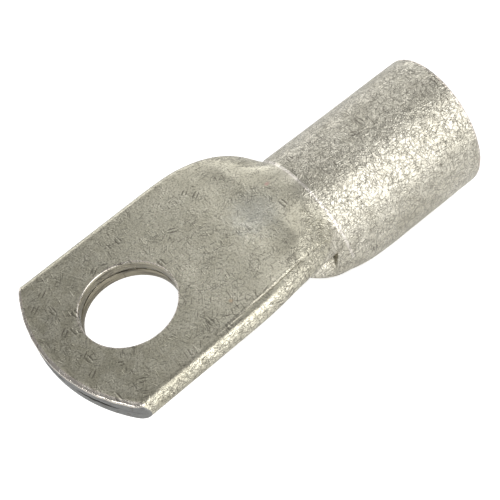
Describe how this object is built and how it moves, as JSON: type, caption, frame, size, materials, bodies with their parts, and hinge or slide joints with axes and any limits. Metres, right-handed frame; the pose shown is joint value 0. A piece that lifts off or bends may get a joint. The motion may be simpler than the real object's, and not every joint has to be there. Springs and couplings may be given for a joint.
{
  "type": "copper cable lug",
  "caption": "Tinned tubular cable lug: a round barrel that is crimped on a stranded conductor, pressed flat into a palm with a stud hole.",
  "frame": {"origin": "centre of the stud hole on the flat contact face of the palm", "axes": "+X from the palm along the barrel to its open end, +Y across the palm, +Z out of the contact face along the stud"},
  "size_m": [0.065, 0.0284, 0.02],
  "materials": {
    "tin": "tumbled bright tin plating over copper, covered in fine scratches"
  },
  "bodies": {
    "root": {"lug": "tin"}
  },
  "joints": []
}
